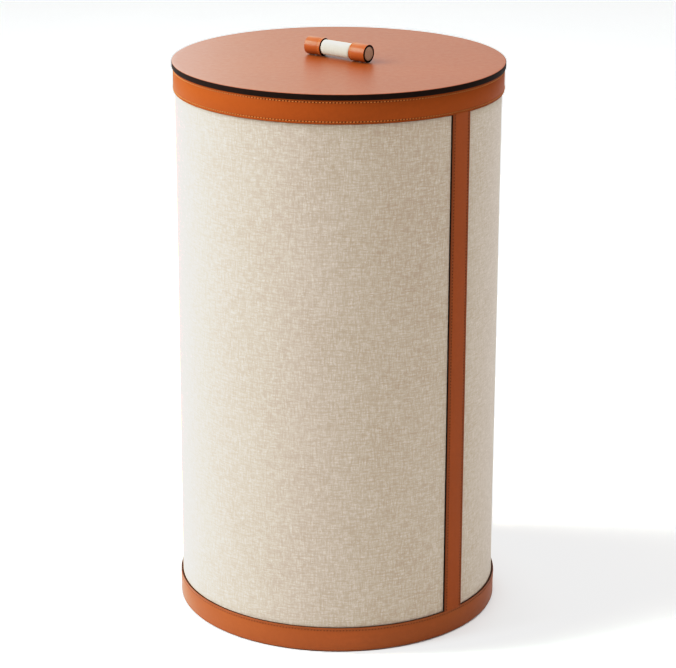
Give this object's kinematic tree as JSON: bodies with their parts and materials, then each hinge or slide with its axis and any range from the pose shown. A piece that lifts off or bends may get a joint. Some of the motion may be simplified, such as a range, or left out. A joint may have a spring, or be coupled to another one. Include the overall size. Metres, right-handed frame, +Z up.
{
  "type": "storage bin",
  "caption": "Tall round lidded storage bin: linen-covered board tube with leather rim, foot and seam strip, and a lift-off leather-topped lid with a short bar handle.",
  "frame": {"origin": "centre of the underside, on the floor", "axes": "+Z up the bin's axis; the front of the bin faces -Y, and the seam strip is on the front's right, towards +X"},
  "size_m": [0.35, 0.35, 0.6191],
  "materials": {
    "felt": "matt needled wool felt",
    "fibreboard": "raw fibreboard",
    "tube_board": "wound paperboard",
    "band_leather": "smooth tan leather, satin, with dark painted edges",
    "lid_leather": "smooth tan leather, satin",
    "outer_linen": "plain-weave natural linen",
    "lining_linen": "plain-weave linen lining",
    "wrap_linen": "fine plain-weave linen",
    "handle_wood": "stained end grain",
    "steel": "plain steel"
  },
  "bodies": {
    "bin": {"base_felt": "felt", "base_board": "fibreboard", "foot_band": "band_leather", "shell_tube": "tube_board", "linen_cover": "outer_linen", "lining_wall": "lining_linen", "lining_floor": "lining_linen", "seam_strip": "band_leather", "rim_band": "band_leather"},
    "lid": {"lid_lining": "lining_linen", "lid_board": "fibreboard", "lid_leather": "lid_leather", "lid_hoop": "fibreboard", "lid_hoop_facing": "band_leather", "handle_dowel": "handle_wood", "handle_wrap": "wrap_linen", "handle_sleeve_left": "band_leather", "handle_sleeve_right": "band_leather", "handle_washer_left": "steel", "handle_washer_right": "steel", "handle_screw_left": "steel", "handle_screw_right": "steel"}
  },
  "joints": [
    {"name": "lid_lift", "type": "slide", "parent": "bin", "child": "lid", "axis": [0, 0, 1], "range_m": [0, 0.35]}
  ]
}
